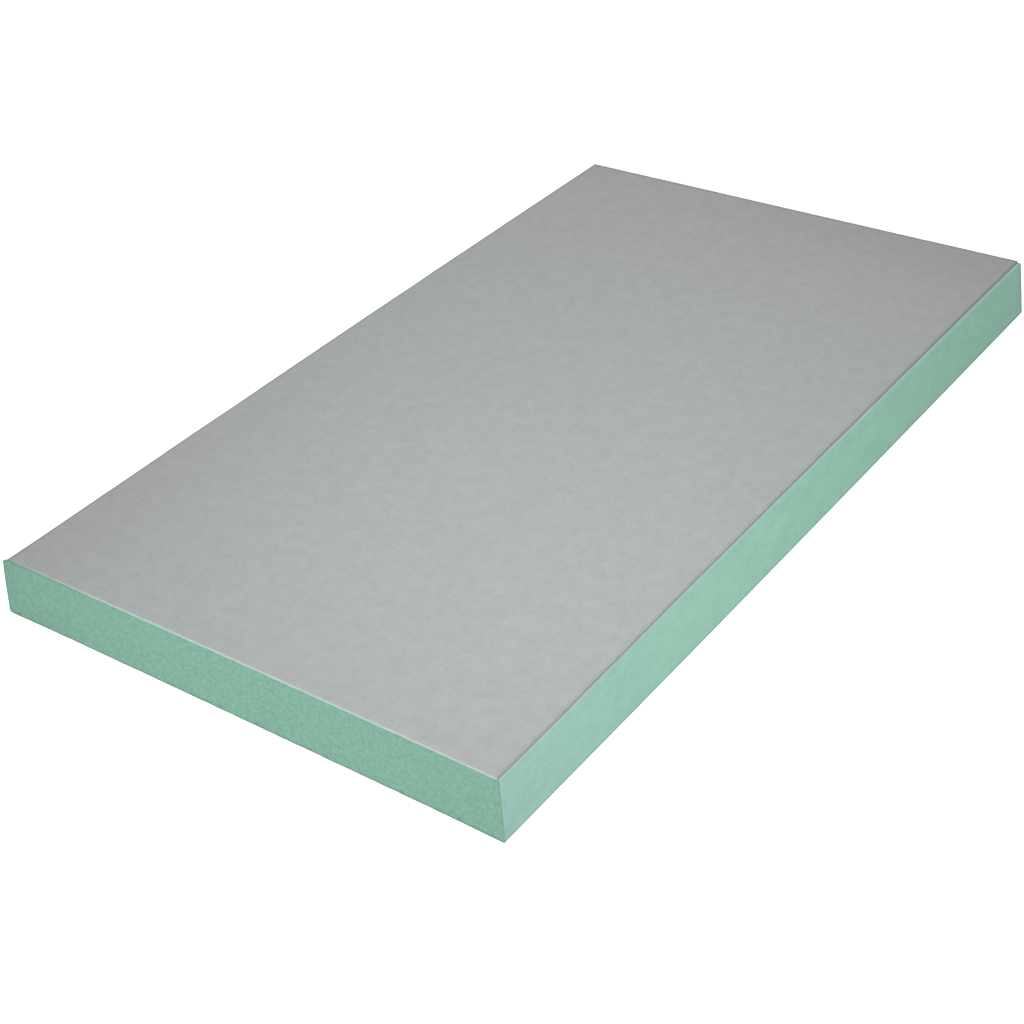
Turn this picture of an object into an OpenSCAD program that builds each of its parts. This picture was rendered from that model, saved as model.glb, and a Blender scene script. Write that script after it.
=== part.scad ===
// Sheet of paper-faced gypsum board, lying with its face down and its back up.
//
// The face paper runs across the underside, folds up round both long edges and turns in over
// the back as two flaps. The gypsum core fills the tray that it makes, level with the flaps.
// The back paper is laid over core and flaps and stops just short of the long edges.
// All three layers are then cut to length together, so they end in one plane.
//
// X runs along the sheet, Y across it and Z up. The origin is under the middle of the sheet.

/* [Sheet] */
// Length of the face, between the cut ends
sheet_length = 190; // [60:5:3000]
// Width over the folds beside the face
sheet_width = 113; // [80:1:1250]
// Thickness over both papers
sheet_thickness = 12.5; // [6:0.5:25]

/* [Edges] */
// How far each long edge leans in over the thickness of the sheet
edge_lean = 0.8; // [0:0.1:2]
// How far each cut end leans in over the thickness of the sheet
end_lean = 0.7; // [0:0.1:2]
// Radius of the core's long corners, round which the face paper is folded
core_corner_radius = 0.1; // [0.05:0.05:1]

/* [Papers] */
// Thickness of the face paper
face_paper_thickness = 0.3; // [0.2:0.05:0.6]
// Thickness of the back paper
back_paper_thickness = 0.35; // [0.2:0.05:0.6]
// Width of each flap that the face paper turns in over the back
flap_width = 20; // [10:1:30]
// Strip of flap that the back paper leaves bare beside each long edge
bare_strip = 1.1; // [0.5:0.1:5]

/* [Hidden] */

// Straight steps in which each fold is drawn
fold_steps = 4;

// Spare length and width by which a layer and the knife run past each other
overrun = 10;

core_colour = [0.53, 0.71, 0.63];
face_paper_colour = [0.60, 0.77, 0.71];
back_paper_colour = [0.69, 0.71, 0.71];

// Outer radius of the folds in the face paper
fold_radius = core_corner_radius + face_paper_thickness;

// Angle of the long edges from upright
lean_angle = atan(edge_lean / sheet_thickness);

// Level of the seam under the back paper, where flaps and core are flush
seam_z = sheet_thickness - back_paper_thickness;

// Centres of the two folds of the right long edge: beside the face, and under the seam
lower_fold = [sheet_width / 2 - fold_radius, fold_radius];
upper_fold_z = seam_z - fold_radius;
upper_fold = [lower_fold.x - (upper_fold_z - fold_radius) * tan(lean_angle), upper_fold_z];

// Half the width over the upper folds, from which flaps and back paper are measured
back_half_width = upper_fold.x + fold_radius;

// Where the right flap ends on the back
flap_end_y = back_half_width - flap_width;

// Points of an arc about a centre, from one angle to another
function arc(centre, radius, from, to) =
    [for (i = [0:fold_steps]) let (a = from + (to - from) * i / fold_steps)
        centre + radius * [cos(a), sin(a)]];

// Line of the face paper round the right long edge, at a depth below the paper's outer surface
function edge_line(depth) = concat(
    arc(lower_fold, fold_radius - depth, -90, lean_angle),
    arc(upper_fold, fold_radius - depth, lean_angle, 90));

function reversed(points) = [for (i = [len(points) - 1:-1:0]) points[i]];

// Closes the right half of a section with its mirror image on the left
function both_halves(points) = concat(points, [for (p = reversed(points)) [-p.x, p.y]]);

// Carries a section in Y and Z along the sheet, past both ends
module along_sheet() {
    rotate([90, 0, 90])
        linear_extrude(sheet_length + overrun, center = true)
            children();
}

// What the knife leaves between the two ends of the sheet
module between_cuts() {
    face_end = sheet_length / 2;
    back_end = face_end - end_lean;
    rotate([90, 0, 0])
        linear_extrude(sheet_width + overrun, center = true)
            polygon([
                [-face_end, 0],
                [face_end, 0],
                [back_end, sheet_thickness],
                [-back_end, sheet_thickness],
            ]);
}

module cut_to_length() {
    intersection() {
        along_sheet() children();
        between_cuts();
    }
}

// Cast gypsum, with a shallow rebate along each side of its back where a flap is let in
module gypsum_core() {
    half = concat(
        edge_line(face_paper_thickness),
        [[flap_end_y, seam_z - face_paper_thickness], [flap_end_y, seam_z]]);
    color(core_colour)
        cut_to_length() polygon(both_halves(half));
}

// One sheet of paper: the face, two folded long edges and two flaps
module face_paper() {
    half = concat(
        edge_line(0),
        [[flap_end_y, seam_z], [flap_end_y, seam_z - face_paper_thickness]],
        reversed(edge_line(face_paper_thickness)));
    color(face_paper_colour)
        cut_to_length() polygon(both_halves(half));
}

// Flat liner over the back
module back_paper() {
    half_width = back_half_width - bare_strip;
    half = [[half_width, seam_z], [half_width, sheet_thickness]];
    color(back_paper_colour)
        cut_to_length() polygon(both_halves(half));
}

gypsum_core();
face_paper();
back_paper();
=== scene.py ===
"""Sheet of paper-faced gypsum board: the finish of its core and papers, and a plain stage to show it on.

X runs along the sheet, Y across it and Z up. Lengths are in metres.
"""
import math

import bmesh
import bpy
import numpy as np
from mathutils import Matrix, Vector


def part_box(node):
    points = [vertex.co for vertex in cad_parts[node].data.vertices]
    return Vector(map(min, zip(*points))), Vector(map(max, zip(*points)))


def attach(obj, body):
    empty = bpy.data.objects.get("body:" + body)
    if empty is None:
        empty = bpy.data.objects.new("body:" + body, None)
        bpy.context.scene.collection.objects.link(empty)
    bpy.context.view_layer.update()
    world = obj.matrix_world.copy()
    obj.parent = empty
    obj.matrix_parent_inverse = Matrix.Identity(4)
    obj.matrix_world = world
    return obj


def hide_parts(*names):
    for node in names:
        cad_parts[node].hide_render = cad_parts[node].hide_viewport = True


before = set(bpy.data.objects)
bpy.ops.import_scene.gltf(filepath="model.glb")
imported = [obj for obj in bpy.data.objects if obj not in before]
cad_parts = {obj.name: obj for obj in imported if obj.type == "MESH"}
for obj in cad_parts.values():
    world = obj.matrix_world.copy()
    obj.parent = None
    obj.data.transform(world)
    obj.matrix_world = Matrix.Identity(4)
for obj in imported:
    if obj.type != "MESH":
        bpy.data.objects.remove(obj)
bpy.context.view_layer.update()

bl_info = {
    "name": "Gypsum board sheet",
    "version": (1, 0, 0),
    "blender": (4, 5, 0),
    "location": "View3D > Sidebar > Gypsum board",
    "description": "Cast core, folded face paper and back paper of a sheet of gypsum board",
    "category": "Mesh",
}

MM = 0.001

# Points along each line of the surfaces, and the distance between points on a cut end of the core
FOLD_STEPS = 9
FLAP_STEPS = 100
EDGE_STEPS = 30
FACE_STEPS = 40
BACK_STEPS = 180
LENGTH_STEPS = 96
PAPER_STEPS = 4
CORE_STEP = 0.2 * MM

# Width over which the core steps down under the end of a flap
FLAP_STEP = CORE_STEP / 4

# Power of the bend that the core's columns make beside a long edge: a high one leaves the others straight
COLUMN_BEND = 12

# Seeds of the papers' strays and waves
FACE_SEED = 20
BACK_SEED = 40

# Numbers that scramble a place on the lattice and a seed into a random share
SCRAMBLE_I, SCRAMBLE_J, SCRAMBLE_SEED = 127.1, 311.7, 74.7
SCRAMBLE_SPREAD = 43758.5453

# Paper whose outer side faces further down than this lies on the floor (1 is up, -1 is down)
DOWN_FACING = -0.5

# Shares that each point of a paper carries for its material: wear and painted highlight, painted shade with a
# darkening towards the bottom, and a ramp that is a painted sheen on the face paper and yellowing on the back
MARKS = ("worn", "soiled", "aged")

# Points closer than this are one point when the patches of a piece are joined
WELD = 0.002 * MM

# Edges that turn more than this stay sharp
SHARP_TURN = math.radians(35)

# Sockets of a Mix node that mixes colours
MIX_SHARE, MIX_FIRST, MIX_SECOND, MIXED = 0, 6, 7, 2

# Refractive index of gypsum and of paper fibre
REFRACTION = 1.5

# Scale of the green liner's patterns in X, Y and Z: they are twice as long along the sheet
FIBRE_RUN = (0.5, 1.0, 1.0)

# Width of the camera's sensor, in millimetres as Blender has it, and the nearest that the camera sees
SENSOR_WIDTH = 36
NEAREST = 10 * MM


def linear(code):
    """Linear colour, with full alpha, of an sRGB hex code."""
    parts = np.array([int(code[i:i + 2], 16) for i in (1, 3, 5)]) / 255
    light = np.where(parts <= 0.04045, parts / 12.92, ((parts + 0.055) / 1.055) ** 2.4)
    return (*light.tolist(), 1.0)


def length(name, description, default):
    """A length that the panel shows, in metres."""
    return bpy.props.FloatProperty(
        name=name, description=description, default=default, min=0, precision=6, unit="LENGTH")


def share(name, description, default):
    """A share, 0 to 1, that the panel shows."""
    return bpy.props.FloatProperty(
        name=name, description=description, default=default, min=0, max=1, subtype="FACTOR")


def colour(name, description, code):
    """A colour that the panel shows, from its sRGB hex code."""
    return bpy.props.FloatVectorProperty(
        name=name, description=description, default=linear(code), size=4, min=0, max=1, subtype="COLOR")


def angle(name, description, degrees):
    """An angle that the panel shows."""
    return bpy.props.FloatProperty(
        name=name, description=description, default=math.radians(degrees), subtype="ANGLE")


def point(name, description, x, y, z):
    """A point that the panel shows, from its place in millimetres."""
    return bpy.props.FloatVectorProperty(
        name=name, description=description, default=(x * MM, y * MM, z * MM), size=3, subtype="TRANSLATION")


class PaperSettings(bpy.types.PropertyGroup):
    """Sizes of the papers that the boxes of the CAD nodes don't give, the sheet's warp, its wear and its
    painted light and shade.
    """

    # Sizes and strays of both papers
    corner_radius: length("Corner radius", "Radius of the core's long corners", 0.1 * MM)
    flap_width: length("Flap width", "Width of each flap that is turned in over the back", 20 * MM)
    bare_strip: length("Bare strip", "Strip of flap that the back paper leaves bare", 1.1 * MM)
    cockle: length("Cockle", "Height of the slow waves that drying leaves in the papers", 0.015 * MM)
    cockle_period: length("Cockle period", "Distance between those waves", 16 * MM)
    rag: length("Rag", "How far the knife's cut through a paper strays", 0.04 * MM)
    rag_period: length("Rag period", "Distance between the strays of the cut", 0.9 * MM)
    wander: length("Wander", "How far the slit long edge of a paper strays", 0.06 * MM)
    wander_period: length("Wander period", "Distance between the strays of the slit edge", 5 * MM)
    settle: length("Settle", "Distance from an edge in which its strays die out", 0.4 * MM)

    # Where the back paper really lies
    left_near: length("Left near strip", "Flap that the back paper really leaves bare there", 1.86 * MM)
    left_far: length("Left far strip", "Flap that the back paper really leaves bare there", 1.98 * MM)
    right_near: length("Right near strip", "Flap that the back paper really leaves bare there", 0.26 * MM)
    right_far: length("Right far strip", "Flap that the back paper really leaves bare there", 0.86 * MM)
    left_bow: length("Left bow", "How far its left edge bows to the left half way along", 0.45 * MM)
    right_bow: length("Right bow", "How far its right edge bows to the left half way along", 0.36 * MM)

    # How the cuts stray from square, and how drying has warped the edges
    hollow: length("Hollow", "How far the knife's cut at the near end bows in half way across", 0.13 * MM)
    toe: length("Toe", "How far the foot of the near end stands out at its two corners", 0.1 * MM)
    toe_width: length("Toe width", "How far in from a corner the toe reaches", 8 * MM)
    fringe: length("Fringe", "How far the back paper stands out at the near right corner", 0.16 * MM)
    skew: length("Skew", "How far the cut at the far end falls short at the left", 0.35 * MM)
    overshoot: length("Overshoot", "How far the cut at the far end stands out at the right", 0.15 * MM)
    sink: length("Sink", "How far the left shoulder has sunk in drying, beside the back paper", 1.6 * MM)
    spared: length("Spared", "How much less it has sunk at the near end", 0.92 * MM)
    spared_length: length("Spared length", "How far from the near end it has sunk less", 1.4 * MM)
    bulge: length("Bulge", "How far the left edge bulges out at the near end", 0.2 * MM)
    tuck: length("Tuck", "How far the right edge's foot is tucked in at the near end", 0.19 * MM)
    tuck_length: length("Tuck length", "How far along the sheet the tuck reaches", 40 * MM)
    belly: length("Belly", "How far the right edge's foot bows out half way along", 0.09 * MM)
    stoop: length("Stoop", "How far the right edge's shoulder leans in at the far end", 0.27 * MM)
    stoop_length: length("Stoop length", "How far along the sheet the stoop reaches", 60 * MM)
    warp_width: length("Warp width", "How far in from an edge its warp reaches", 5 * MM)

    # Wear, painted highlights, painted shade, and a darkening towards the bottom
    burr: length("Burr", "Width of the back paper that the knife has torn beside the near cut", 0.12 * MM)
    # Painted highlight: a pale band on the face paper along each cut
    cut_highlight: length("Bruise", "Width of the face paper that the knife has bruised beside a cut", 0.28 * MM)
    cut_highlight_film: share("Bruise film", "How worn the face paper is there", 0.15)
    # Painted highlight: a pale line on the face paper beside each slit edge, set further out towards the far
    # end
    paste: length("Paste", "Width of the line of dried paste that stands out along the slit edges", 0.24 * MM)
    seam_highlight_drift: length("Ooze", "How far the paste has run out from the slit edge at the far end", 0.45 * MM)
    # Painted shade: a dark line on the back paper along its left slit edge
    dark_shade: length("Soil", "Width of the soiled line along the left slit edge", 0.3 * MM)
    left_shade_film: share("Soil film", "How soiled the grey paper is along that edge", 0.85)
    # Painted shade: darker bands along the lower arrises, more towards the far end, and along the left half
    # of the near cut
    arris_shade: length("Rub", "Width of the soiled line along an arris that rubs", 0.6 * MM)
    near_cut_shade_film: share("Rub film", "How soiled the green paper is along the left half of the near cut", 0.3)
    foot_shade_near: share("Foot, near", "How soiled it is along a lower arris at the near end", 0.45)
    foot_shade_far: share("Foot, far", "How soiled it is along a lower arris at the far end", 0.9)
    # Darker towards the bottom, as a bell curve up from the floor
    low_dark_film: share("Dust film", "How dusty it is low down, near the floor", 0.06)
    low_dark_height: length("Dust height", "How high the dust has settled on it", 5 * MM)
    # Painted shade along both papers' far cuts
    far_shade_film: share("Far film", "How soiled both papers are along their far cuts", 0.6)
    # Painted shade: a dark line on the back paper beside its right slit edge
    seam_shade: length("Seam soil", "Width of the soiled line along the right slit edge", 0.5 * MM)
    seam_shade_film: share("Seam film", "How soiled it is along that edge", 0.26)
    # Painted shade on the upper folds, growing with height and towards the near end
    fold_shade_film: share("Fold film", "How soiled the upper folds are where hands rub them", 0.26)
    # Painted shade: darker patches on the back paper along its left edge near the near end and along the far
    # end
    shade_reach: length("Grip", "How far along an edge hands hold the sheet", 80 * MM)
    shade_depth: length("Grip depth", "How far in from that edge they reach", 17 * MM)
    shade_patch_film: share("Grip film", "How soiled the back paper is where hands hold it", 0.12)
    # Painted sheen: the face paper paler and bluer towards the near end
    sheened: length("Faded", "How far from the near end light has faded the face paper", 55 * MM)

    # Patterns in the papers' materials
    cloud: length("Cloud", "Size of the clouds in which the fibres lie thicker", 3 * MM)
    fibre: length("Fibre", "Width of a bundle of fibres, drawn coarser than it is", 0.5 * MM)
    fleck: length("Fleck", "Size of the flecks of recycled fibre", 0.8 * MM)
    layer: length("Layer", "Length of a layer of fibre that a cut lays open", 1.1 * MM)
    green_cut: share("Green cut", "How uneven the face paper is where it is cut", 0.25)
    grey_slit: share("Grey slit", "How uneven the back paper is where it is slit", 0.2)
    grey_cut: share("Grey cut", "How uneven the back paper is where it is cut", 0.1)
    fuzz: length("Fuzz", "Height of the fibres on a liner's surface", 0.01 * MM)
    cut_fuzz: length("Cut fuzz", "Height of the fibres on a cut", 0.03 * MM)


class CoreSettings(bpy.types.PropertyGroup):
    """Relief and grain of the core where it is cut."""

    crumble: length("Crumble", "How far the core breaks back beside the papers", 0.04 * MM)
    crumble_width: length("Crumble width", "Width of that broken border", 0.6 * MM)
    grain: length("Grain", "Height of the grain on a cut end", 0.012 * MM)
    grain_period: length("Grain period", "Distance between the grains", 0.6 * MM)
    pore_spacing: length("Pore spacing", "Distance between the larger air bubbles", 2.6 * MM)
    pore_radius: length("Pore radius", "Radius of the largest air bubbles", 0.3 * MM)
    void_spacing: length("Void spacing", "Distance between the voids beside the papers", 1.3 * MM)
    void_radius: length("Void radius", "Radius of the largest voids beside the papers", 0.4 * MM)
    crystal: length("Crystal", "Size of a cluster of crystals, drawn coarser than it is", 0.8 * MM)
    dust: length("Dust", "Height of the chalky dust on a cut end", 0.012 * MM)


class BoardColours(bpy.types.PropertyGroup):
    """Colours of the core and the papers, and of the painted highlight, sheen and shade on the papers."""

    gypsum: colour("Gypsum", "Clusters of crystals in the cast core", "#8EBEAA")
    gypsum_dark: colour("Gypsum, dark", "Bubbles and denser gypsum between the clusters", "#75A591")
    face_paper: colour("Face paper", "Green liner", "#97CBB6")
    # Painted highlight: the face paper's pale colour along its cuts and beside its slit edges
    face_paper_highlight: colour("Face paper, worn", "Green liner where it is bruised or pasted", "#C0D8D0")
    # Painted sheen: the face paper's paler, bluer colour towards the near end
    face_paper_sheen: colour("Face paper, faded", "Green liner that light has faded", "#9ECBBE")
    face_paper_cut: colour("Face paper, cut", "Cut edge of the green liner", "#7FAF9B")
    # Cut edge of the face paper at the near end, where the painted sheen ramp is full
    face_paper_cut_near: colour("Face paper, faded cut", "The same at the near end", "#80B09B")
    face_paper_thick: colour("Face paper, thick spots", "Shade that denser clouds lay over it", "#F0F0F0")
    back_paper: colour("Back paper", "Grey liner", "#B5B9BA")
    back_paper_thick: colour("Back paper, thick spots", "Shade that denser clouds lay over it", "#F9F9F9")
    back_paper_fleck: colour("Back paper, flecks", "Shade that recycled fibres lay over it", "#EEEEEE")
    back_paper_aged: colour("Back paper, aged", "Grey liner where it has yellowed", "#B8BBB9")
    back_paper_cut: colour("Back paper, cut", "Cut end of the grey liner, its fibres torn", "#C0D2CC")
    back_paper_cut_aged: colour("Back paper, aged cut", "The same where it has yellowed", "#A0B8AF")
    # Painted shade: the back paper's slit edges darkened as the shaded side of its step down to the flap,
    # more so towards the far end
    back_paper_slit_shaded: colour("Back paper, slit", "Slit long edge of the grey liner", "#95A5A0")
    back_paper_slit_shaded_far: colour("Back paper, aged slit", "The same where it has yellowed", "#909E96")
    # Painted shade: the dark tone that all painted shade mixes in; the dark layers on cut edges use it too
    dark_shade: colour("Soil", "Dirt that handling leaves", "#656B68")


class StageSettings(bpy.types.PropertyGroup):
    """Camera, lamps and floor."""

    azimuth: angle("Azimuth", "Camera's angle round the sheet", -51.162)
    elevation: angle("Elevation", "Camera's angle above the floor", 34.56)
    roll: angle("Roll", "Camera's turn about its own axis", -4.948)
    distance: length("Distance", "From the camera to the point it looks at", 353.07 * MM)
    aim: point("Aim", "Point that the camera looks at", -29.45, -10.37, 6.25)
    lens: bpy.props.FloatProperty(
        name="Lens", description="Focal length on a sensor 36 mm wide, in millimetres",
        default=66.79, subtype="DISTANCE_CAMERA")
    key_power: bpy.props.FloatProperty(
        name="Key power", description="Power of the soft lamp beside the camera",
        default=0.1335, unit="POWER")
    key_place: point("Key place", "Where that lamp stands", -202, -145, 178)
    key_aim: point("Key aim", "Point that the lamp faces", 74, 56, 6)
    key_size: length("Key size", "Side of that lamp's square face", 120 * MM)
    key_spread: angle("Key spread", "Angle to which the grid on that lamp narrows its light", 72.6)
    fill_power: bpy.props.FloatProperty(
        name="Fill power", description="Power of the low lamp that fills the near end",
        default=0.0065, unit="POWER")
    fill_place: point("Fill place", "Where the low lamp stands", -168, 26, 40)
    fill_aim: point("Fill aim", "Point that the low lamp faces", -95, 60, 6)
    fill_size: length("Fill size", "Side of the low lamp's square face", 40 * MM)
    fill_spread: angle("Fill spread", "Angle to which the grid on the low lamp narrows its light", 143)
    ambient: bpy.props.FloatProperty(
        name="Ambient", description="Even light from all round", default=0.45)
    floor: colour("Floor", "Plain pale floor", "#F4F4F4")
    floor_lift: bpy.props.FloatProperty(
        name="Floor lift", description="What the camera sees added to the floor's own light", default=0.65)
    floor_side: length("Floor side", "Side of the square floor", 6.0)
    floor_gap: length("Floor gap", "Height of the floor over the sheet's underside", 0.005 * MM)


def lattice(i, j, seed):
    """Random share, 0 to 1, for each whole place: the fraction left of a large multiple of a sine."""
    value = np.sin(SCRAMBLE_I * i + SCRAMBLE_J * j + SCRAMBLE_SEED * seed) * SCRAMBLE_SPREAD
    return value - np.floor(value)


def drift(u, v, period, seed):
    """Smooth noise, -1 to 1: random heights on a square lattice of that period, eased from place to place."""
    u, v = np.broadcast_arrays(u / period, v / period)
    i, j = np.floor(u), np.floor(v)
    a, b = ((3 - 2 * f) * f * f for f in (u - i, v - j))
    near = lattice(i, j, seed) * (1 - a) + lattice(i + 1, j, seed) * a
    far = lattice(i, j + 1, seed) * (1 - a) + lattice(i + 1, j + 1, seed) * a
    return 2 * (near * (1 - b) + far * b) - 1


def bubbles(u, v, spacing, radius, seed):
    """Depth of cut air bubbles: half balls of random place and size, one to a square cell.

    Where they overlap the deepest counts. A bubble's radius is the largest radius times a cubed random share,
    so most are small.
    """
    depth = np.zeros(np.broadcast(u, v).shape)
    first_i, first_j = np.floor(u / spacing), np.floor(v / spacing)
    for step_i in (-1, 0, 1):
        for step_j in (-1, 0, 1):
            i, j = first_i + step_i, first_j + step_j
            across = u - (i + lattice(i, j, seed)) * spacing
            up = v - (j + lattice(i, j, seed + 1)) * spacing
            reach = radius * lattice(i, j, seed + 2) ** 3
            depth = np.maximum(depth, np.sqrt(np.maximum(reach ** 2 - across ** 2 - up ** 2, 0)))
    return depth


class Section:
    """Cross-section of the sheet in Y and Z, from the boxes of the CAD nodes and the papers' settings."""

    def __init__(self, papers):
        _, face_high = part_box("face_paper")
        back_low, back_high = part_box("back_paper")
        core_low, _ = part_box("gypsum_core")
        self.half_length = face_high.x
        self.half_width = face_high.y
        self.end_slope = (face_high.x - back_high.x) / back_low.z
        self.paper = core_low.z
        self.seam = back_low.z
        self.top = back_high.z
        self.back_half_width = back_high.y
        self.radius = papers.corner_radius + self.paper
        self.lower_fold = np.array([face_high.y - self.radius, self.radius])
        self.shoulder = back_high.y + papers.bare_strip
        self.upper_fold = np.array([self.shoulder - self.radius, self.seam - self.radius])
        rise = self.upper_fold - self.lower_fold
        self.lean = math.atan2(-rise[0], rise[1])
        self.flap_end = self.shoulder - papers.flap_width
        self.papers = papers

    def from_ends(self, station):
        """Distances from the near and the far end at a station (-1 to 1, end to end)."""
        return (1 + station) * self.half_length, (1 - station) * self.half_length

    def reach(self, station, y, z):
        """Distance along X from the middle to the knife's cut: less with height, as the ends lean.

        The near end is hollow too, by a parabola across the sheet, with a toe at each lower corner that fades
        as a bell curve across and as a ramp with height. The far end is out of square.
        """
        p = self.papers
        toe = p.toe * bell(self.half_width - np.abs(y), p.toe_width) * (1 - z / self.top)
        hollow = p.hollow * (1 - (y / self.half_width) ** 2) - toe
        short = (1 + y / self.half_width) / 2 * (p.skew + p.overshoot) - p.overshoot
        return self.half_length - self.end_slope * z - np.where(station < 0, hollow, short)

    def warped(self, station, y, z):
        """Y and Z of points once drying has warped the sheet.

        The left edge bulges out at the near end. The right edge's foot is tucked in at the near end and bows
        out half way along, and its shoulder stoops in at the far end. The bow is a parabola along the sheet,
        and the other moves fade as bell curves. All fade as ramps in from the edge. The left shoulder has
        sunk, in a ramp from the slit edge of the back paper and with height, and less at the near end.
        """
        p = self.papers
        from_near, from_far = self.from_ends(station)
        corner = bell(from_near, p.spared_length)
        risen = np.clip(z / self.seam, 0, 1)
        left, right = (np.clip(1 - (self.half_width - side * y) / p.warp_width, 0, 1) for side in (1, -1))
        foot = p.tuck * bell(from_near, p.tuck_length) - p.belly * (1 - station ** 2)
        shoulder = p.stoop * bell(from_far, p.stoop_length)
        moved = left * corner * p.bulge + right * (foot * (1 - risen) + shoulder * risen)
        depth = p.sink - p.spared * corner
        slit, _ = self.slit_edges(station)
        across = np.clip((y - slit) / (self.shoulder - slit), 0, 1)
        return y + moved, z - depth * across * np.clip(2 * risen - 1, 0, 1)

    def slit_edges(self, station):
        """Y of the back paper's left and right edges: lines between its corners, both bowed to the left."""
        p = self.papers
        near, far, bowed = (1 - station) / 2, (1 + station) / 2, 1 - station ** 2
        left = self.shoulder - near * p.left_near - far * p.left_far + bowed * p.left_bow
        right = near * p.right_near + far * p.right_far - self.shoulder + bowed * p.right_bow
        return left, right

    def edge_line(self, depth):
        """Line round the right long edge at a depth under the paper's outer surface.

        It is an arc about the lower fold, a straight line up the leaning edge and an arc about the upper
        fold.
        """
        arcs = []
        for centre, first, last in ((self.lower_fold, -math.pi / 2, self.lean),
                                    (self.upper_fold, self.lean, math.pi / 2)):
            turn = np.linspace(first, last, FOLD_STEPS)[:, None]
            arcs.append(centre + (self.radius - depth) * np.hstack([np.cos(turn), np.sin(turn)]))
        straight = arcs[0][-1] + crowded(EDGE_STEPS)[1:-1, None] * (arcs[1][0] - arcs[0][-1])
        return np.concatenate([arcs[0], straight, arcs[1]])

    def wrap_line(self, depth):
        """Whole line of the face paper at a depth: left flap, left edge, face, right edge and right flap."""
        edge = self.edge_line(depth)
        face = np.linspace((0, depth), edge[0], FACE_STEPS)[:-1]
        flap_end = np.array([self.flap_end, self.seam - depth])
        flap = edge[-1] + crowded(FLAP_STEPS)[1:, None] * (flap_end - edge[-1])
        right = np.concatenate([face, edge, flap])
        return np.concatenate([right[:0:-1] * (-1, 1), right])

    def back_line(self, depth):
        """Straight line of the back paper at a depth under its upper surface."""
        across = (2 * crowded(BACK_STEPS) - 1) * self.back_half_width
        return np.stack([across, np.full(BACK_STEPS, self.top - depth)], -1)


def crowded(count):
    """Shares from 0 to 1 that crowd together at both ends: half of one minus the cosine of half a turn."""
    return (1 - np.cos(np.linspace(0, math.pi, count))) / 2


def bell(distance, width):
    """1 at no distance, falling off as a bell curve of a width."""
    return np.exp(-(distance / width) ** 2)


def along(line):
    """Distance along a line from its first point to each of its points."""
    steps = np.linalg.norm(np.diff(line, axis=0), axis=1)
    return np.concatenate([[0], np.cumsum(steps)])


class Paper:
    """A closed sheet of paper that follows a line across the board and runs from cut end to cut end."""

    def __init__(self, section, outer, inner, seed):
        self.section = section
        self.outer = outer
        self.through = inner - outer
        self.settings = section.papers
        self.seed = seed
        self.along = along(outer)
        self.normal = -self.through / np.linalg.norm(self.through, axis=1)[:, None]
        tangent = np.gradient(outer, axis=0)
        self.tangent = tangent / np.linalg.norm(tangent, axis=1)[:, None]

    def points(self, station, number, depth):
        """Points at a station (-1 to 1, end to end), a number on the line and a share of the paper's depth.

        The line is carried along X and laid in Y. Slow waves of two sizes lift it along its normal, except
        where it lies on the floor. It strays along itself at its two ends, and along X at a cut. A point's
        marks follow its place.
        """
        station, number, depth = np.broadcast_arrays(station, number, depth)
        way = self.along[number]
        base = self.outer[number] + depth[..., None] * self.through[number]
        x = station * self.reach(station, base[..., 0], base[..., 1])
        s = self.settings
        wave = drift(x, way, s.cockle_period, self.seed) + drift(x, way, s.cockle_period / 3, self.seed) / 3
        lift = s.cockle * wave * (self.normal[number][..., 1] > DOWN_FACING)
        ends = bell(self.along[-1] - way, s.settle) - bell(way, s.settle)
        stray = ends * s.wander * drift(x, np.sign(ends), s.wander_period, self.seed + 1)
        base = base + lift[..., None] * self.normal[number] + stray[..., None] * self.tangent[number]
        side = np.sign(station)
        under = depth * np.linalg.norm(self.through[number], axis=-1)
        ragged = drift(way, side * s.rag_period + under, s.rag_period, self.seed + 2)
        from_cut = np.minimum(*self.section.from_ends(station))
        x = x + side * s.rag * ragged * bell(from_cut, s.settle)
        y, z = self.laid(station, base[..., 0]), base[..., 1]
        return np.stack([x, *self.section.warped(station, y, z), *self.marks(station, under, y, z)], -1)

    def patches(self):
        """Grids that close the sheet, each with its material's number: 0 surface, 1 slit edge, 2 cut end."""
        stations = 2 * crowded(LENGTH_STEPS)[:, None] - 1
        numbers = np.arange(len(self.outer))[None, :]
        depths = np.linspace(0, 1, PAPER_STEPS)
        last = len(self.outer) - 1
        return [
            (self.points(stations, numbers, 0.0), 0),
            (self.points(stations, numbers, 1.0), 0),
            (self.points(stations, 0, depths[None, :]), 1),
            (self.points(stations, last, depths[None, :]), 1),
            (self.points(-1.0, numbers, depths[:, None]), 2),
            (self.points(1.0, numbers, depths[:, None]), 2),
        ]


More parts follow.
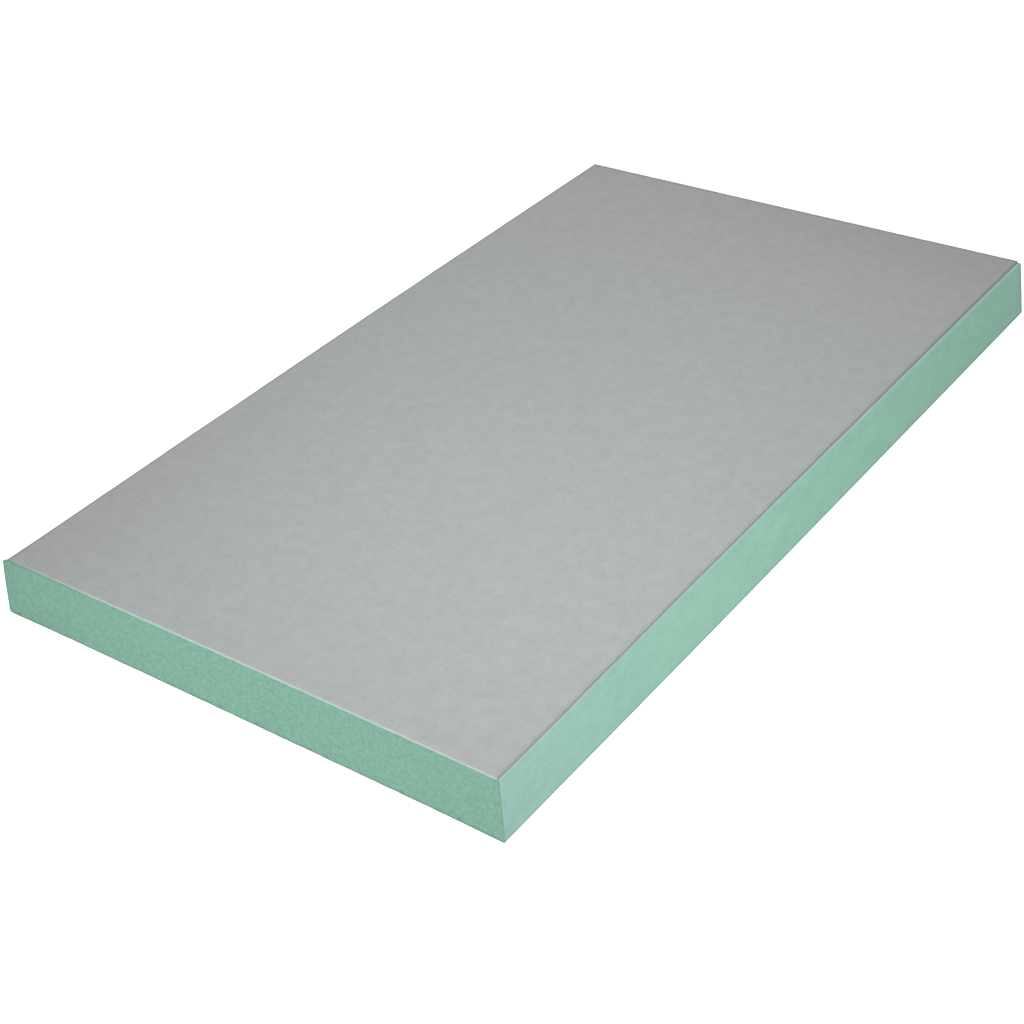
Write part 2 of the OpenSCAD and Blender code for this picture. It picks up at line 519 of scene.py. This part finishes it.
class FacePaper(Paper):
    """The face paper, folded round the long edges."""

    def reach(self, station, y, z):
        """Distance along X from the middle to the paper's cut: where the knife went."""
        return self.section.reach(station, y, z)

    def laid(self, station, y):
        """Y of points as the paper lies on the board: where the line has them."""
        return y

    def marks(self, station, under, y, z):
        """How worn and highlit, shaded and ramped the paper is at points, with their distance under its outer
        surface.

        Painted highlights run as bell curves from the cuts and from a line beside each slit edge, further
        from it towards the far end. Painted shade runs as bell curves from the lower arrises, more towards
        the far end, and from the far cut and the left half of the near cut, and as a film on the upper folds
        that grows with height and towards the near end. It is darker towards the bottom, as a bell curve from
        the floor. A painted sheen, paler and bluer, ramps to the near end.
        """
        s, section = self.settings, self.section
        left, right = section.slit_edges(station)
        from_near, from_far = section.from_ends(station)
        from_cut = np.minimum(from_near, from_far)
        from_slit = np.hypot(np.maximum(y - left, right - y), section.seam - z)
        # Painted highlight: pale lines beside the slit edges and along the cuts
        seam_highlit = bell(from_slit - s.seam_highlight_drift * (1 + station) / 2, s.paste)
        worn = np.maximum(s.cut_highlight_film * bell(from_cut, s.cut_highlight), seam_highlit)
        # Painted shade along the lower arrises and the cuts
        lower = np.hypot(np.minimum(section.half_width - np.abs(y), from_cut), z)
        foot = s.foot_shade_near + (s.foot_shade_far - s.foot_shade_near) * (1 + station) / 2
        cut = np.where(station > 0, s.far_shade_film, s.near_cut_shade_film * (y > 0))
        arris_shaded = np.maximum(foot * bell(lower, s.arris_shade), cut * bell(np.hypot(under, from_cut), s.arris_shade))
        # Darker towards the bottom
        low_dark = s.low_dark_film * bell(z, s.low_dark_height)
        # Painted shade on the upper folds
        risen = np.clip((z - section.upper_fold[1]) / section.radius, 0, 1)
        soiled = np.maximum.reduce([arris_shaded, low_dark, s.fold_shade_film * risen * bell(from_near, s.shade_reach)])
        # Painted sheen, ramping to the near end
        aged = np.clip(1 - from_near / s.sheened, 0, 1)
        return worn, soiled, aged


class BackPaper(Paper):
    """The back paper, laid a little askew between its two slit edges."""

    def reach(self, station, y, z):
        """Distance along X from the middle to the paper's cut.

        At the near end the paper stands out past the knife's cut, in a ramp from the middle to the right.
        """
        fringe = self.settings.fringe * np.clip(-y / self.section.half_width, 0, 1) * (station < 0)
        return self.section.reach(station, y, z) + fringe

    def laid(self, station, y):
        """Y of points as the paper lies on the board: shares of the way from slit edge to slit edge."""
        left, right = self.section.slit_edges(station)
        share = (1 + y / self.section.back_half_width) / 2
        return right + share * (left - right)

    def marks(self, station, under, y, z):
        """How worn, shaded and ramped the paper is at points, with their distance under its outer surface.

        Painted shade patches lie along the left edge near the near end, and at the far end near the right
        edge:
        there a wide bell curve along the edge is multiplied by a narrow one in from it. It is worn by a bell
        curve from the near cut. Painted shade runs as bell curves from the left slit edge, the far cut and
        the right slit edge, and as a film on the patches. It is aged, yellowed, in a ramp to the far end and
        on the patches.
        """
        s, section = self.settings, self.section
        left, right = section.slit_edges(station)
        from_near, from_far = section.from_ends(station)
        # Painted shade patches along the left edge and the far end
        shade_patch_left = bell(from_near, s.shade_reach) * bell(left - y, s.shade_depth)
        shade_patch_far = bell(y - right, s.shade_reach) * bell(from_far, s.shade_depth)
        shade_patch = np.maximum(shade_patch_left, shade_patch_far)
        worn = bell(from_near, s.burr)
        # Painted shade along the left slit edge and the far cut
        line = np.maximum(s.left_shade_film * bell(left - y, s.dark_shade), s.far_shade_film * bell(from_far, s.arris_shade))
        # Painted shade beside the right slit edge
        seam = s.seam_shade_film * bell(y - right, s.seam_shade)
        soiled = np.maximum.reduce([line, seam, s.shade_patch_film * shade_patch])
        aged = np.maximum(np.clip(station, 0, 1), shade_patch)
        return worn, soiled, aged


class Core:
    """The cast core, with relief on its two cut ends."""

    def __init__(self, section, settings):
        self.section = section
        self.settings = settings
        self.edge = section.edge_line(section.paper)
        self.half_width = self.edge[:, 0].max()
        columns = np.linspace(-1, 1, round(2 * self.half_width / CORE_STEP))
        step = section.flap_end / self.half_width
        beside = FLAP_STEP / 2 / self.half_width
        steps = [s * (step + side * beside) for s in (-1, 1) for side in (-1, 1)]
        self.columns = np.sort(np.concatenate([columns, steps]))[None, :]
        self.rows = np.linspace(0, 1, round(section.seam / CORE_STEP))[:, None]

    def end(self, side):
        """Grid of points on a cut end: rows up, columns across.

        A column rises from the face paper to the flap, or to the seam between the flaps.
        The columns near a long edge bend in with it. The relief goes inwards from the knife's plane.
        """
        bottom = self.section.paper
        flat = self.columns * self.half_width
        under_flap = np.abs(flat) > self.section.flap_end
        ceiling = self.section.seam - under_flap * self.section.paper
        z = bottom + self.rows * (ceiling - bottom)
        reach = np.interp(z, self.edge[:, 1], self.edge[:, 0])
        y = flat - np.sign(flat) * (self.half_width - reach) * np.abs(self.columns) ** COLUMN_BEND
        border = np.minimum(np.minimum(z - bottom, ceiling - z), reach - np.abs(y))
        x = side * (self.section.reach(side, y, z) - self.relief(y, z, border, side))
        return np.stack([x, *self.section.warped(side, y, z)], -1)

    def relief(self, y, z, border, side):
        """Depth under the knife's plane: a crumbled border with voids, grain of two sizes and cut bubbles.

        Each of these random patterns has a seed of its own at each end.
        """
        s = self.settings
        broken = np.clip(1 - border / s.crumble_width, 0, 1) ** 2
        uneven = 1 + drift(y, z, 2 * s.crumble_width, side + 2)
        coarse = 1 + drift(y, z, s.grain_period, side + 3)
        fine = 1 + drift(y, z, s.grain_period / 2, side + 4)
        bowls = bubbles(y, z, s.pore_spacing, s.pore_radius, side + 5)
        voids = bubbles(y, z, s.void_spacing, s.void_radius, side + 8) * (border < s.crumble_width)
        return s.crumble * broken * uneven + s.grain * (coarse + fine / 2) / 2 + np.maximum(bowls, voids)

    def patches(self):
        """Grids that close the core: its two ends, and the band of sides between their outlines."""
        ends = [self.end(side) for side in (-1, 1)]
        outlines = [np.concatenate([e[0, :-1], e[:-1, -1], e[-1, :0:-1], e[::-1, 0]]) for e in ends]
        return [(ends[0], 0), (ends[1], 0), (np.stack(outlines), 0)]


def quads(rows, columns):
    """Corner numbers of the quads of a grid of points that is stored row by row."""
    corner = (np.arange(rows - 1)[:, None] * columns + np.arange(columns - 1)).reshape(-1, 1)
    return corner + np.array([0, 1, columns + 1, columns])


def add_piece(name, node, patches, materials):
    """Joins the patches into one closed mesh, turns its faces outwards and puts it in a CAD node's place."""
    points, faces, numbers, first = [], [], [], 0
    for grid, number in patches:
        made = quads(*grid.shape[:2]) + first
        points.append(grid.reshape(-1, grid.shape[2]))
        faces.append(made)
        numbers.append(np.full(len(made), number))
        first += grid.shape[0] * grid.shape[1]
    points = np.concatenate(points)
    mesh = bpy.data.meshes.new(name)
    mesh.from_pydata(points[:, :3].tolist(), [], np.concatenate(faces).tolist())
    for mark, values in zip(MARKS, np.ascontiguousarray(points[:, 3:].T, np.float32)):
        mesh.attributes.new(mark, "FLOAT", "POINT").data.foreach_set("value", values)
    mesh.polygons.foreach_set("material_index", np.concatenate(numbers).astype(np.int32))
    whole = bmesh.new()
    whole.from_mesh(mesh)
    bmesh.ops.remove_doubles(whole, verts=whole.verts, dist=WELD)
    bmesh.ops.recalc_face_normals(whole, faces=whole.faces)
    loose = sum(not edge.is_manifold for edge in whole.edges)
    whole.to_mesh(mesh)
    whole.free()
    if loose:
        raise RuntimeError(f"{name} has {loose} open edges")
    mesh.shade_smooth()
    mesh.set_sharp_from_angle(angle=SHARP_TURN)
    for material in materials:
        mesh.materials.append(material)
    piece = bpy.data.objects.new(name, mesh)
    bpy.context.scene.collection.objects.link(piece)
    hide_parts(node)
    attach(piece, "root")
    return piece


def add_node(tree, kind, inputs=None, **settings):
    """Adds a node with its settings, and gives each input a value or the socket that feeds it."""
    made = tree.nodes.new(kind)
    for name, value in settings.items():
        setattr(made, name, value)
    for name, value in (inputs or {}).items():
        if isinstance(value, bpy.types.NodeSocket):
            tree.links.new(value, made.inputs[name])
        else:
            made.inputs[name].default_value = value
    return made


def start_material(name, roughness):
    """A material with its tree and its shader."""
    material = bpy.data.materials.new(name)
    material.use_nodes = True
    tree = material.node_tree
    shader = tree.nodes["Principled BSDF"]
    shader.inputs["Roughness"].default_value = roughness
    shader.inputs["IOR"].default_value = REFRACTION
    return material, tree, shader


def per(size):
    """Scale of a texture whose pattern repeats about once in a size in metres."""
    return 1 / size


def cast_gypsum(colours, core):
    """Cast gypsum, tinted green and cut: dry and chalky, finely mottled by crystals and tiny bubbles.

    The crystals are far finer than a pixel, so their mottle is drawn coarser than it is.
    """
    material, tree, shader = start_material("Cast gypsum, green", 0.95)
    place = add_node(tree, "ShaderNodeTexCoord").outputs["Object"]
    crystals = add_node(tree, "ShaderNodeTexNoise", {
        "Vector": place, "Scale": per(core.crystal), "Detail": 3.0, "Roughness": 0.8})
    dark = add_node(tree, "ShaderNodeMapRange", {
        "Value": crystals.outputs["Fac"], "From Min": 0.3, "From Max": 0.7})
    tint = add_node(tree, "ShaderNodeMix", {
        MIX_SHARE: dark.outputs["Result"], MIX_FIRST: colours.gypsum, MIX_SECOND: colours.gypsum_dark},
        data_type="RGBA")
    bump = add_node(tree, "ShaderNodeBump", {
        "Height": crystals.outputs["Fac"], "Distance": core.dust, "Strength": 0.5})
    tree.links.new(tint.outputs[MIXED], shader.inputs["Base Color"])
    tree.links.new(bump.outputs["Normal"], shader.inputs["Normal"])
    return material


def green_liner(colours, papers):
    """Green liner paper, pressed smooth: faint clouds where the fibres lie thicker, and a dull even sheen.

    It has a painted sheen, paler and bluer, towards the near end, painted highlights along the cuts and
    beside the slit edges, and painted shade along the arrises and on the upper folds, and it is darker
    towards the bottom. Its fibres run along the sheet.
    """
    material, tree, shader = start_material("Liner paper, green", 0.7)
    place = add_node(tree, "ShaderNodeTexCoord").outputs["Object"]
    worn, soiled, aged = (add_node(tree, "ShaderNodeAttribute", attribute_name=mark) for mark in MARKS)
    # Painted sheen towards the near end
    sheened = add_node(tree, "ShaderNodeMix", {
        MIX_SHARE: aged.outputs["Fac"], MIX_FIRST: colours.face_paper, MIX_SECOND: colours.face_paper_sheen},
        data_type="RGBA")
    run = add_node(tree, "ShaderNodeMapping", {"Vector": place, "Scale": FIBRE_RUN})
    clouds = add_node(tree, "ShaderNodeTexNoise", {
        "Vector": run.outputs["Vector"], "Scale": per(papers.cloud), "Detail": 4.0, "Roughness": 1.0})
    thick = add_node(tree, "ShaderNodeMapRange", {
        "Value": clouds.outputs["Fac"], "From Min": 0.35, "From Max": 0.65})
    tint = add_node(tree, "ShaderNodeMix", {
        MIX_SHARE: thick.outputs["Result"], MIX_FIRST: sheened.outputs[MIXED],
        MIX_SECOND: colours.face_paper_thick}, data_type="RGBA", blend_type="MULTIPLY")
    # Painted highlights
    pale = add_node(tree, "ShaderNodeMix", {
        MIX_SHARE: worn.outputs["Fac"], MIX_FIRST: tint.outputs[MIXED], MIX_SECOND: colours.face_paper_highlight},
        data_type="RGBA")
    # Painted shade, and the darkening towards the bottom
    with_shade = add_node(tree, "ShaderNodeMix", {
        MIX_SHARE: soiled.outputs["Fac"], MIX_FIRST: pale.outputs[MIXED], MIX_SECOND: colours.dark_shade},
        data_type="RGBA")
    fibres = add_node(tree, "ShaderNodeTexNoise", {
        "Vector": run.outputs["Vector"], "Scale": per(papers.fibre), "Detail": 2.0})
    bump = add_node(tree, "ShaderNodeBump", {
        "Height": fibres.outputs["Fac"], "Distance": papers.fuzz, "Strength": 0.5})
    tree.links.new(with_shade.outputs[MIXED], shader.inputs["Base Color"])
    tree.links.new(bump.outputs["Normal"], shader.inputs["Normal"])
    return material


def grey_liner(colours, papers):
    """Grey liner paper of recycled fibre: soft clouds, faint flecks and a dull surface.

    It is yellowed towards the far end and pale along the near cut. Painted shade darkens it along its slit
    edges and far cut, and in patches along the left edge and the far end.
    """
    material, tree, shader = start_material("Liner paper, grey", 0.8)
    place = add_node(tree, "ShaderNodeTexCoord").outputs["Object"]
    worn, soiled, aged = (add_node(tree, "ShaderNodeAttribute", attribute_name=mark) for mark in MARKS)
    yellowed = add_node(tree, "ShaderNodeMix", {
        MIX_SHARE: aged.outputs["Fac"], MIX_FIRST: colours.back_paper, MIX_SECOND: colours.back_paper_aged},
        data_type="RGBA")
    clouds = add_node(tree, "ShaderNodeTexNoise", {
        "Vector": place, "Scale": per(papers.cloud), "Detail": 2.0})
    thick = add_node(tree, "ShaderNodeMapRange", {
        "Value": clouds.outputs["Fac"], "From Min": 0.35, "From Max": 0.65})
    tint = add_node(tree, "ShaderNodeMix", {
        MIX_SHARE: thick.outputs["Result"], MIX_FIRST: yellowed.outputs[MIXED],
        MIX_SECOND: colours.back_paper_thick}, data_type="RGBA", blend_type="MULTIPLY")
    fibres = add_node(tree, "ShaderNodeTexNoise", {
        "Vector": place, "Scale": per(papers.fleck), "Detail": 1.0})
    fleck = add_node(tree, "ShaderNodeMapRange", {
        "Value": fibres.outputs["Fac"], "From Min": 0.5, "From Max": 0.75, "To Max": 0.5})
    flecked = add_node(tree, "ShaderNodeMix", {
        MIX_SHARE: fleck.outputs["Result"], MIX_FIRST: tint.outputs[MIXED],
        MIX_SECOND: colours.back_paper_fleck}, data_type="RGBA", blend_type="MULTIPLY")
    pale = add_node(tree, "ShaderNodeMix", {
        MIX_SHARE: worn.outputs["Fac"], MIX_FIRST: flecked.outputs[MIXED],
        MIX_SECOND: colours.back_paper_cut}, data_type="RGBA")
    # Painted shade
    with_shade = add_node(tree, "ShaderNodeMix", {
        MIX_SHARE: soiled.outputs["Fac"], MIX_FIRST: pale.outputs[MIXED], MIX_SECOND: colours.dark_shade},
        data_type="RGBA")
    bump = add_node(tree, "ShaderNodeBump", {
        "Height": fibres.outputs["Fac"], "Distance": papers.fuzz, "Strength": 0.3})
    tree.links.new(with_shade.outputs[MIXED], shader.inputs["Base Color"])
    tree.links.new(bump.outputs["Normal"], shader.inputs["Normal"])
    return material


def cut_liner(name, fresh, aged, uneven, colours, papers):
    """Edge of a liner that a blade has gone through: layers of fibre, rough and without sheen.

    Its colour goes from fresh to ramped with the paper's own ramp mark. It is uneven, to a share, and darker
    where painted shade lies.
    """
    material, tree, shader = start_material(name, 0.95)
    place = add_node(tree, "ShaderNodeTexCoord").outputs["Object"]
    soiled, ramp_mark = (add_node(tree, "ShaderNodeAttribute", attribute_name=mark) for mark in MARKS[1:])
    tone = add_node(tree, "ShaderNodeMix", {
        MIX_SHARE: ramp_mark.outputs["Fac"], MIX_FIRST: fresh, MIX_SECOND: aged}, data_type="RGBA")
    layers = add_node(tree, "ShaderNodeTexNoise", {
        "Vector": place, "Scale": per(papers.layer), "Detail": 2.0})
    dark = add_node(tree, "ShaderNodeMapRange", {
        "Value": layers.outputs["Fac"], "From Min": 0.45, "From Max": 0.7, "To Max": uneven})
    rough = add_node(tree, "ShaderNodeMix", {
        MIX_SHARE: dark.outputs["Result"], MIX_FIRST: tone.outputs[MIXED], MIX_SECOND: colours.dark_shade},
        data_type="RGBA")
    # Painted shade
    with_shade = add_node(tree, "ShaderNodeMix", {
        MIX_SHARE: soiled.outputs["Fac"], MIX_FIRST: rough.outputs[MIXED], MIX_SECOND: colours.dark_shade},
        data_type="RGBA")
    bump = add_node(tree, "ShaderNodeBump", {
        "Height": layers.outputs["Fac"], "Distance": papers.cut_fuzz, "Strength": 0.5})
    tree.links.new(with_shade.outputs[MIXED], shader.inputs["Base Color"])
    tree.links.new(bump.outputs["Normal"], shader.inputs["Normal"])
    return material


class BOARD_OT_core(bpy.types.Operator):
    """Casts the gypsum core, with its relief on the cut ends"""

    bl_idname = "board.core"
    bl_label = "Gypsum core"

    def execute(self, context):
        scene = context.scene
        core = Core(Section(scene.board_papers), scene.board_core)
        gypsum = cast_gypsum(scene.board_colours, scene.board_core)
        add_piece("cast_core", "gypsum_core", core.patches(), [gypsum])
        return {"FINISHED"}


class BOARD_OT_face_paper(bpy.types.Operator):
    """Folds the face paper round the long edges"""

    bl_idname = "board.face_paper"
    bl_label = "Face paper"

    def execute(self, context):
        colours, papers = context.scene.board_colours, context.scene.board_papers
        section = Section(papers)
        paper = FacePaper(section, section.wrap_line(0), section.wrap_line(section.paper), FACE_SEED)
        liner = green_liner(colours, papers)
        cut = cut_liner("Cut liner paper, green", colours.face_paper_cut, colours.face_paper_cut_near,
                        papers.green_cut, colours, papers)
        add_piece("folded_face_paper", "face_paper", paper.patches(), [liner, cut, cut])
        return {"FINISHED"}


class BOARD_OT_back_paper(bpy.types.Operator):
    """Lays the back paper over the core and the flaps"""

    bl_idname = "board.back_paper"
    bl_label = "Back paper"

    def execute(self, context):
        colours, papers = context.scene.board_colours, context.scene.board_papers
        section = Section(papers)
        upper, lower = section.back_line(0), section.back_line(section.top - section.seam)
        paper = BackPaper(section, upper, lower, BACK_SEED)
        liner = grey_liner(colours, papers)
        # The slit edges' colours are painted shade: the shaded side of the back paper's step down to the flap
        slit = cut_liner("Slit liner paper, grey", colours.back_paper_slit_shaded, colours.back_paper_slit_shaded_far,
                         papers.grey_slit, colours, papers)
        cut = cut_liner("Cut liner paper, grey", colours.back_paper_cut, colours.back_paper_cut_aged,
                        papers.grey_cut, colours, papers)
        add_piece("laid_back_paper", "back_paper", paper.patches(), [liner, slit, cut])
        return {"FINISHED"}


def seen_share(tree):
    """1 for what the camera, a reflection or clear glass sees, and 0 for light on its way to a surface."""
    path = add_node(tree, "ShaderNodeLightPath")
    first = add_node(tree, "ShaderNodeMath", {
        0: path.outputs["Is Camera Ray"], 1: path.outputs["Is Glossy Ray"]}, operation="MAXIMUM")
    both = add_node(tree, "ShaderNodeMath", {
        0: first.outputs[0], 1: path.outputs["Is Transmission Ray"]}, operation="MAXIMUM")
    return both.outputs[0]


def add_floor(stage):
    """A square floor of matt white board, which the camera sees lifted to white.

    It keeps the sheet's shadow. It is clear from below, so that the underside of the sheet shows.
    """
    half, height = stage.floor_side / 2, stage.floor_gap
    mesh = bpy.data.meshes.new("floor")
    corners = [(-half, -half, height), (half, -half, height), (half, half, height), (-half, half, height)]
    mesh.from_pydata(corners, [], [(0, 1, 2, 3)])
    material, tree, shader = start_material("Matt white board", 1.0)
    shader.inputs["Base Color"].default_value = stage.floor
    shader.inputs["Specular IOR Level"].default_value = 0
    shader.inputs["Emission Color"].default_value = (stage.floor_lift, stage.floor_lift, stage.floor_lift, 1)
    tree.links.new(seen_share(tree), shader.inputs["Emission Strength"])
    side = add_node(tree, "ShaderNodeNewGeometry")
    clear = add_node(tree, "ShaderNodeBsdfTransparent")
    shown = add_node(tree, "ShaderNodeMixShader", {
        0: side.outputs["Backfacing"], 1: shader.outputs[0], 2: clear.outputs[0]})
    tree.links.new(shown.outputs[0], tree.nodes["Material Output"].inputs["Surface"])
    mesh.materials.append(material)
    floor = bpy.data.objects.new("floor", mesh)
    bpy.context.scene.collection.objects.link(floor)


def add_world(stage):
    """Even light from all round, which the camera sees as white."""
    world = bpy.data.worlds.new("studio")
    world.use_nodes = True
    tree = world.node_tree
    tree.nodes.clear()
    light = add_node(tree, "ShaderNodeBackground", {"Color": (1, 1, 1, 1), "Strength": stage.ambient})
    white = add_node(tree, "ShaderNodeBackground", {"Color": (1, 1, 1, 1), "Strength": 1.0})
    shown = add_node(tree, "ShaderNodeMixShader", {
        0: seen_share(tree), 1: light.outputs[0], 2: white.outputs[0]})
    add_node(tree, "ShaderNodeOutputWorld", {"Surface": shown.outputs[0]})
    bpy.context.scene.world = world


def add_lamp(stage, name):
    """A square soft lamp with a grid, so its light fades away from the point that it faces."""
    power, place, aim, size, spread = (
        getattr(stage, f"{name}_{key}") for key in ("power", "place", "aim", "size", "spread"))
    data = bpy.data.lights.new(name, "AREA")
    data.shape = "SQUARE"
    data.size = size
    data.spread = spread
    data.energy = power
    lamp = bpy.data.objects.new(name, data)
    lamp.location = place
    facing = Vector(aim) - Vector(place)
    lamp.rotation_euler = facing.to_track_quat("-Z", "Y").to_euler()
    lamp.visible_camera = False
    bpy.context.scene.collection.objects.link(lamp)


def add_camera(stage):
    """The photograph's camera: so far back from the point it looks at, turned a little about its own axis."""
    flat, rise = stage.azimuth, stage.elevation
    back = Vector((math.sin(flat) * math.cos(rise), -math.cos(flat) * math.cos(rise), math.sin(rise)))
    level = Vector((math.cos(flat), math.sin(flat), 0))
    upright = back.cross(level)
    right = math.cos(stage.roll) * level + math.sin(stage.roll) * upright
    up = back.cross(right)
    data = bpy.data.cameras.new("camera")
    data.sensor_width = SENSOR_WIDTH
    data.lens = stage.lens
    data.clip_start = NEAREST
    camera = bpy.data.objects.new("camera", data)
    turn = Matrix((right, up, back)).transposed().to_4x4()
    camera.matrix_world = Matrix.Translation(Vector(stage.aim) + back * stage.distance) @ turn
    bpy.context.scene.collection.objects.link(camera)
    bpy.context.scene.camera = camera


class BOARD_OT_stage(bpy.types.Operator):
    """Sets the floor, the light and the camera"""

    bl_idname = "board.stage"
    bl_label = "Stage"

    def execute(self, context):
        stage = context.scene.board_stage
        add_floor(stage)
        add_world(stage)
        add_lamp(stage, "key")
        add_lamp(stage, "fill")
        add_camera(stage)
        context.scene.view_settings.view_transform = "Standard"
        return {"FINISHED"}


class BOARD_PT_sheet(bpy.types.Panel):
    """Settings and steps of the sheet, in the sidebar"""

    bl_idname = "BOARD_PT_sheet"
    bl_label = "Gypsum board"
    bl_space_type = "VIEW_3D"
    bl_region_type = "UI"
    bl_category = "Gypsum board"

    def draw(self, context):
        for step in STEPS:
            self.layout.operator(step.bl_idname)
        for name in SETTINGS:
            group = getattr(context.scene, name)
            box = self.layout.box()
            for key in group.__annotations__:
                box.prop(group, key)


SETTINGS = {
    "board_papers": PaperSettings,
    "board_core": CoreSettings,
    "board_colours": BoardColours,
    "board_stage": StageSettings,
}
STEPS = (BOARD_OT_core, BOARD_OT_face_paper, BOARD_OT_back_paper, BOARD_OT_stage)
CLASSES = (*SETTINGS.values(), *STEPS, BOARD_PT_sheet)


def register():
    for made in CLASSES:
        bpy.utils.register_class(made)
    for name, group in SETTINGS.items():
        setattr(bpy.types.Scene, name, bpy.props.PointerProperty(type=group))


def unregister():
    for name in SETTINGS:
        delattr(bpy.types.Scene, name)
    for made in reversed(CLASSES):
        bpy.utils.unregister_class(made)


def main():
    """Makes every piece and the stage."""
    register()
    bpy.ops.board.core()
    bpy.ops.board.face_paper()
    bpy.ops.board.back_paper()
    bpy.ops.board.stage()


if __name__ == "__main__":
    main()
